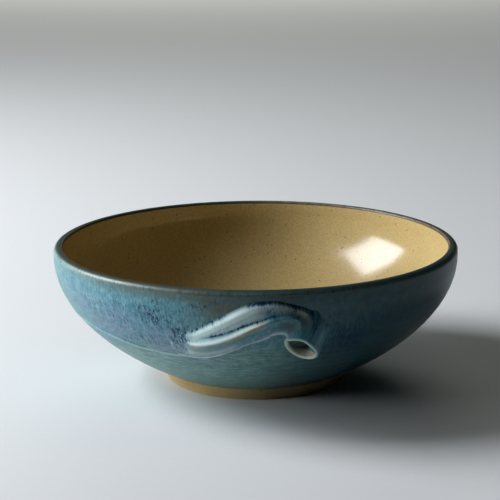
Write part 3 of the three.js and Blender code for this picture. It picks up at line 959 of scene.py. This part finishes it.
def curl_layers(ring_offset, ring_climb):
    """Rings from the block's edge inwards: over the wall up to the curl's rim, round the rim in a half
    turn, down the bore and in over its floor. Each has its points, their chart places, and how much
    they belong to the rim and to the bore."""
    _, _, angle = about_curl(on_wall(ring_offset, ring_climb))
    lean, rim, _, _, _ = rim_at(angle)
    rim_offset, rim_climb = chart_below(rim, angle)
    layers = []
    for share in np.linspace(0, 1, 41)[1:]:
        o = ring_offset + (rim_offset - ring_offset) * share
        c = ring_climb + (rim_climb - ring_climb) * share
        layers.append((handle_point(o, c, handle_height(o, c)), o, c, 0, 0))
    start, _, _ = about_curl(layers[-1][0])
    lift = start - (curl_reach - mouth_round + mouth_round * np.sin(lean))
    spin = np.cos(angle)[:, None] * curl_right + np.sin(angle)[:, None] * curl_up
    for share in np.linspace(0, 1, 15)[1:]:
        turn = lean + (math.pi - lean) * share
        out = mouth_middle + mouth_round * np.cos(turn)
        up = curl_reach - mouth_round + mouth_round * np.sin(turn) + lift
        points = curl_base + out[:, None] * spin + up[:, None] * curl_axis
        layers.append((points, rim_offset, rim_climb, min(1, 2 * share), 0.3 * share))
    mouth = layers[-1][0]
    o, c = chart_below(np.full_like(rim, bore_floor_radius), angle)
    foot = on_wall(o, c, bore_floor_proud)
    for share in np.linspace(0, 1, 13)[1:]:
        points = mouth * (1 - share) + foot * share
        layers.append((points, o, c, max(0, 1 - 3 * share), 0.4 + 0.6 * share))
    for share in (0.75, 0.5, 0.25):
        o, c = chart_below(np.full_like(rim, bore_floor_radius * share), angle)
        layers.append((on_wall(o, c, bore_floor_proud), o, c, 0, 1))
    return layers


underside_offset, underside_climb = 0.0, 0.8


def underside_layers(edge_offset, edge_climb):
    """Rings inside the wall, from under the strap's edge in to the underside's middle."""
    layers = []
    for share in np.linspace(0, 1, 13)[:-1]:
        o = edge_offset + (underside_offset - edge_offset) * share
        c = edge_climb + (underside_climb - edge_climb) * share
        layers.append((on_wall(o, c, -seat_depth), o, c, 0, 0))
    return layers


def joined(loops, middle):
    """Quads from each ring of point numbers to the next, and triangles from the last to its middle."""
    steps = [(outer, np.roll(outer, -1), np.roll(inner, -1), inner) for outer, inner in zip(loops, loops[1:])]
    last = loops[-1]
    fan = np.stack([last, np.roll(last, -1), np.full(len(last), middle)], axis=1)
    return np.concatenate([np.stack(step, axis=1) for step in steps]), fan


def handle_mesh():
    """The strap's grid with a block left out round the curl, the rings that fill the block, and a
    hidden underside inside the wall. Every point comes with its chart place and its share of the
    curl's rim and of its bore."""
    offset, climb = handle_grid()
    rows, columns = offset.shape
    place = np.arange(rows * columns).reshape(rows, columns)
    left, right = np.searchsorted(grid_columns, block_sides)
    low, high = block_low_row, low_rows + rail_rows * rail_names.index("groove")
    ring = np.concatenate([
        place[low, left:right], place[low:high, right], place[high, right:left:-1], place[high:low:-1, left],
    ])
    edge = np.concatenate([place[0, :-1], place[:-1, -1], place[-1, :0:-1], place[:0:-1, 0]])
    keep = np.ones((rows - 1, columns - 1), bool)
    keep[low:high, left:right] = False

    o, c = offset.ravel(), climb.ravel()
    parts = [(handle_point(o, c, handle_height(o, c)), o, c, 0, 0)]
    parts += curl_layers(o[ring], c[ring])
    fill = [ring] + [len(o) + len(ring) * k + np.arange(len(ring)) for k in range(len(parts) - 1)]
    bore_middle = fill[-1][-1] + 1
    one = np.ones(1)
    bore_point = curl_base + bore_floor_proud * curl_out
    parts.append((bore_point[None, :], curl_offset * one, curl_climb * one, 0, 1))
    sunk = underside_layers(o[edge], c[edge])
    below = [edge] + [bore_middle + 1 + len(edge) * k + np.arange(len(edge)) for k in range(len(sunk))]
    parts += sunk
    o, c = underside_offset * one, underside_climb * one
    parts.append((on_wall(o, c, -seat_depth), o, c, 0, 0))

    fill_quads, fill_fan = joined(fill, bore_middle)
    under_quads, under_fan = joined(below, below[-1][-1] + 1)
    quads = np.concatenate([grid_faces(place)[keep.ravel()], fill_quads, under_quads[:, [0, 3, 2, 1]]])
    fans = np.concatenate([fill_fan, under_fan[:, [1, 0, 2]]])
    points = np.concatenate([part[0] for part in parts])
    charts = [np.concatenate([part[i] + np.zeros(len(part[1])) for part in parts]) for i in (1, 2, 3, 4)]
    used = np.unique(np.concatenate([quads.ravel(), fans.ravel()]))
    renumber = np.zeros(len(points), int)
    renumber[used] = np.arange(len(used))
    return points[used], renumber[quads].tolist() + renumber[fans].tolist(), [c[used] for c in charts]


def to_back(points):
    """The same place on the other side of the bowl: half a turn about its axis."""
    return points * np.array([-1.0, -1.0, 1.0])


band_end = 0.0015


def along_rail(offset, climb, rail, shift, width, stretch):
    """A soft band that follows a rail: shift metres above it, a width in metres, over a stretch of
    offsets. A bell across it, and a soft step at each of its ends."""
    climbs, _ = rails_at(offset)
    above = (climb - climbs[..., rail_names.index(rail)]) * wall_length
    band = np.exp(-(((above - shift) / width) ** 2))
    return band * rise(offset, stretch[0], band_end) * rise(-offset, -stretch[1], band_end)


most_ink = 1.25
hook_pale_width = 0.0009


def handle_marks(offset, climb, on_rim, in_bore):
    """What the glaze does on the handle. It breaks pale along the edges, on the ridges and on the
    shelf, and painted highlights lighten the slopes that face the window; it is bare and brown below the
    second ridge, blue on the curl's flank and cream round its rim, and pools ink blue in the groove and
    along the upper edge. Painted shade darkens the valley where the strap turns into the curl, with a
    little brown, and the curl's bore, whose lit side gets cream painted light. Each mark is the strongest
    of several bands along the rails."""
    marks = wall_marks(offset, climb, offset / rim_radius)
    away, _ = line_distance(offset, climb, hook_line)
    # Pale where the glaze breaks on edges and ridges, with painted highlights: the bands just above the first
    # and second ridges and under the upper edge lie on slopes that face the window.
    pale_break_and_highlight = np.max([
        0.6 * np.exp(-((away / hook_pale_width) ** 2)),
        0.75 * along_rail(offset, climb, "first ridge", -0.001, 0.0026, (-0.050, 0.022)),
        0.5 * along_rail(offset, climb, "first ridge", -0.0045, 0.0035, (-0.046, 0.006)),
        0.95 * along_rail(offset, climb, "first ridge", 0.0022, 0.0022, (-0.052, -0.002)),
        0.8 * along_rail(offset, climb, "upper edge", -0.0024, 0.0018, (-0.004, 0.034)),
        0.95 * along_rail(offset, climb, "second ridge", 0.0013, 0.0015, (-0.052, 0.004)),
        0.4 * along_rail(offset, climb, "flange", 0.002, 0.004, (-0.055, -0.015)),
        0.5 * along_rail(offset, climb, "thin lower edge", 0.001, 0.0008, (0.004, 0.024)),
    ], axis=0)
    bare = np.max([
        along_rail(offset, climb, "second ridge", -0.0026, 0.0017, (-0.051, -0.036)),
        0.7 * along_rail(offset, climb, "second ridge", -0.0016, 0.0016, (-0.036, -0.024)),
        along_rail(offset, climb, "second ridge", -0.0012, 0.0019, (-0.022, 0.006)),
    ], axis=0)
    _, from_curl, angle = about_curl(on_wall(offset, climb))
    beside = from_curl - rim_at(angle)[1]
    # lit is the side of the curl's bore that faces the window.
    lower, lit = np.clip(0.5 - np.sin(angle), 0, 1), np.clip(np.cos(angle + 0.6), 0, 1)
    flank = np.maximum(
        np.exp(-((np.clip(beside, 0, None) / 0.0026) ** 2)),
        along_rail(offset, climb, "thin lower edge", 0.001, 0.002, (-0.004, 0.028)),
    )
    # Painted shade: the valley where the strap turns into the curl is darkened because it faces away from the
    # window, and a little of it also goes brown.
    painted_valley_shade = np.max([
        along_rail(offset, climb, "under slope", 0.001, 0.0065, (0.013, 0.060)),
        along_rail(offset, climb, "second ridge", 0.0035, 0.0045, (0.018, 0.060)),
        0.9 * along_rail(offset, climb, "first ridge", -0.001, 0.003, (0.030, 0.060)),
    ], axis=0) * (1 - 0.9 * flank)
    ink = np.max([
        along_rail(offset, climb, "groove", 0.0004, 0.0009, (-0.036, 0.014)),
        0.9 * along_rail(offset, climb, "upper edge", 0.0008, 0.0024, (-0.056, -0.02)),
        along_rail(offset, climb, "upper edge", 0.0006, 0.0026, (-0.006, 0.045)),
        0.5 * along_rail(offset, climb, "first ridge", -0.002, 0.003, (0.002, 0.032)),
        spots(offset, climb, (1.0, (-0.0545, 0.74), (0.004, 0.004), 0)),
        1.2 * lower * np.exp(-(((beside - 0.0012) / 0.001) ** 2)),
    ], axis=0)
    violet = 0.8 * along_rail(offset, climb, "flange", -0.001, 0.003, (-0.052, 0.03))
    pale_break_and_highlight = pale_break_and_highlight * (1 - 0.9 * np.clip(ink, 0, 1)) * (1 - in_bore)
    marks["broken"] = np.clip(pale_break_and_highlight + 0.3 * on_rim, 0, 1)
    # Painted light: cream on the side of the bore's wall that faces the window.
    inside = lit * rise(-in_bore, -0.75, 0.05) * (in_bore > 0.3)
    rim_line = on_rim * (1 - in_bore) * (0.3 + 0.5 * lower)
    marks["cream"] = np.clip(np.maximum(rim_line, inside) + 0.35 * bare, 0, 1)
    above = climb > rails_at(offset)[0][..., -1]
    thin = np.max([marks["thin"] * above, bare, 0.15 * painted_valley_shade], axis=0)
    # The bore is also painted olive brown, as painted shade.
    marks["thin"] = np.clip(thin * (1 - on_rim) + 0.6 * in_bore, 0, 1)
    pooled = np.maximum(marks["pooled"] * (1 - painted_valley_shade), most_ink * ink)
    marks["pooled"] = np.clip(pooled - on_rim - in_bore, 0, most_ink)
    marks["lavender"] = np.clip(np.maximum(marks["lavender"], violet), 0, 1)
    # Painted shade: the wall's painted shade, the bore apart from its lit side, and the valley.
    deep = marks["deep"] * (1 - 0.5 * on_rim) * (1 - 0.8 * flank)
    marks["deep"] = np.max([deep, in_bore * (1 - inside), painted_valley_shade], axis=0)
    return marks


points, faces, charts = handle_mesh()
marks = handle_marks(*charts)
for name, half_turn in (("front_handle", 0), ("back_handle", math.pi)):
    placed = to_back(points) if half_turn else points
    azimuth = charts[0] / rim_radius + half_turn
    marks["wall_place"] = wall_marks(charts[0], charts[1], azimuth)["wall_place"]
    handle = piece(name + "_glazed", placed, faces, outer_finish, **marks)
    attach(handle, "root")
    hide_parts(name)


# Handle tails. A thin coil of clay trailed along the wall from the strap's lower left corner and
# smeared down by finger, so that it is a soft line that fades out as it climbs.
tail_offsets = np.array(
    [-0.0545, -0.06, -0.066, -0.073, -0.085, -0.1, -0.118, -0.136, -0.155, -0.18, -0.207]
)
tail_climbs = np.array([0.59, 0.579, 0.574, 0.574, 0.585, 0.593, 0.614, 0.635, 0.656, 0.675, 0.71])
tail_sizes = np.array([0.3, 0.8, 1, 1, 1, 1, 0.95, 0.9, 0.8, 0.6, 0])
tail_relief = 0.0011
tail_half_width = 0.0026
tail_edge_sink = 0.00015
tail_seat_depth = 0.0008


def tail_mesh(steps=300, sides=16):
    """A low ridge carried along the wall: its section is a smooth hump, the square of one minus the
    square of the place across it, closed underneath inside the wall."""
    share = np.linspace(0, 1, steps)
    places = np.broadcast_to(np.linspace(0, 1, len(tail_offsets)), (steps, len(tail_offsets)))
    spread = [np.broadcast_to(row, places.shape) for row in (tail_offsets, tail_climbs, tail_sizes)]
    line, middle, size = (bend(share, places, row)[:, None] for row in spread)
    u = np.linspace(-1, 1, sides)[None, :]
    offset = line + 0 * u
    climb = middle + u * tail_half_width / wall_length
    height = tail_relief * size * (1 - u**2) ** 2 - tail_edge_sink
    over = on_wall(offset, climb, height)
    under = on_wall(offset, climb, np.full_like(height, -tail_seat_depth))
    place = np.arange(steps * sides).reshape(steps, sides)
    shift = steps * sides
    quads = [grid_faces(place), grid_faces(place + shift)[:, ::-1]]
    for run, flip in ((place[:, 0], 1), (place[:, -1], -1), (place[0], -1), (place[-1], 1)):
        side = np.stack([run[:-1], run[1:], run[1:] + shift, run[:-1] + shift], axis=1)
        quads.append(side[:, ::flip])
    points = np.concatenate([over.reshape(-1, 3), under.reshape(-1, 3)])
    hump = np.broadcast_to((1 - u**2) ** 4 * size, height.shape).ravel()
    charts = [np.tile(offset.ravel(), 2), np.tile(climb.ravel(), 2)]
    return points, np.concatenate(quads).tolist(), charts, np.concatenate([hump, 0 * hump])


points, faces, charts, hump = tail_mesh()
marks = wall_marks(*charts, charts[0] / rim_radius)
# The tail's crest is pale: glaze breaking over it, with a painted highlight.
marks["broken"] = hump * 0.35
marks["cream"] = 0 * hump
for name, half_turn in (("front_handle_tail", 0), ("back_handle_tail", math.pi)):
    placed = to_back(points) if half_turn else points
    azimuth = charts[0] / rim_radius + half_turn
    marks["wall_place"] = wall_marks(*charts, azimuth)["wall_place"]
    tail = piece(name + "_glazed", placed, faces, outer_finish, **marks)
    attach(tail, "root")
    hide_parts(name)


# Studio. A plain pale table top, a soft window high on the left with more light from lower down
# under it, a light for the far table, a faint even fill, and a camera where the photograph was taken.
def table_top():
    """Matt pale card, nearly white and faintly cool."""
    finish = new_finish("pale_matt_card")
    place = add(finish, "ShaderNodeTexCoord", {}, {})
    mottle = add(
        finish, "ShaderNodeTexNoise", {},
        {"Vector": (place, "Object"), "Scale": 300.0, "Detail": 3.0},
    )
    shade = add(
        finish, "ShaderNodeMix", {"data_type": "RGBA"},
        {"Factor": (mottle, "Fac"), "A": colour("#d6d8d8"), "B": colour("#dbdddc")},
    )
    surface = add(
        finish, "ShaderNodeBsdfPrincipled", {},
        {"Base Color": shade, "Roughness": 0.9, "Specular IOR Level": 0.2},
    )
    add(finish, "ShaderNodeOutputMaterial", {}, {"Surface": surface})
    return finish


table_reach = 8.0
corners = np.array([[-1, -1, 0], [1, -1, 0], [1, 1, 0], [-1, 1, 0]]) * table_reach
table = piece("table_top", corners, [[0, 1, 2, 3]], table_top())


def area_light(name, towards, place, size, watts, shade, mirrored=True):
    """A rectangular light of a given width and height at a place, facing a point."""
    light = bpy.data.lights.new(name, "AREA")
    light.shape = "RECTANGLE"
    light.size, light.size_y = size
    light.energy = watts
    light.color = colour(shade)[:3]
    lamp = bpy.data.objects.new(name, light)
    bpy.context.scene.collection.objects.link(lamp)
    lamp.location = place
    aim = Vector(towards) - Vector(place)
    lamp.rotation_euler = aim.to_track_quat("-Z", "Y").to_euler()
    lamp.visible_camera = False
    lamp.visible_glossy = mirrored
    return lamp


bowl_middle = (0, 0, 0.05)
window_direction = np.array([-1.42, 0.23, 1.0])
window_place = 2.2 * window_direction / np.linalg.norm(window_direction)
area_light("window", bowl_middle, window_place.tolist(), (1.15, 1.25), 72.0, "#f6f9ff")
area_light("window_low", bowl_middle, (-2.3, -0.22, 0.34), (1.3, 0.5), 38.0, "#f6f9ff", mirrored=False)
area_light("far_fill", (-0.4, 6.0, 0), (-0.4, 6.0, 3.0), (3.4, 3.4), 160.0, "#f6f6f0", mirrored=False)
area_light("ceiling", (0, 0, 0), (0.6, 0.3, 2.6), (2.4, 2.4), 3.5, "#fbfbf0", mirrored=False)

world = bpy.data.worlds.new("room")
world.use_nodes = True
background = world.node_tree.nodes["Background"]
background.inputs["Color"].default_value = colour("#dfe6ea")
background.inputs["Strength"].default_value = 0.004
bpy.context.scene.world = world

camera_place = (-0.00425, -1.143, 0.3697)
lens = bpy.data.cameras.new("camera")
lens.lens = 111.226
lens.sensor_width = 36
lens.clip_end = 60
camera = bpy.data.objects.new("camera", lens)
bpy.context.scene.collection.objects.link(camera)
camera.location = camera_place
tilt = Matrix.Rotation(math.radians(76.55), 4, "X") @ Matrix.Rotation(math.radians(-0.299), 4, "Z")
camera.rotation_euler = tilt.to_euler()
bpy.context.scene.camera = camera
bpy.context.scene.view_settings.view_transform = "Standard"
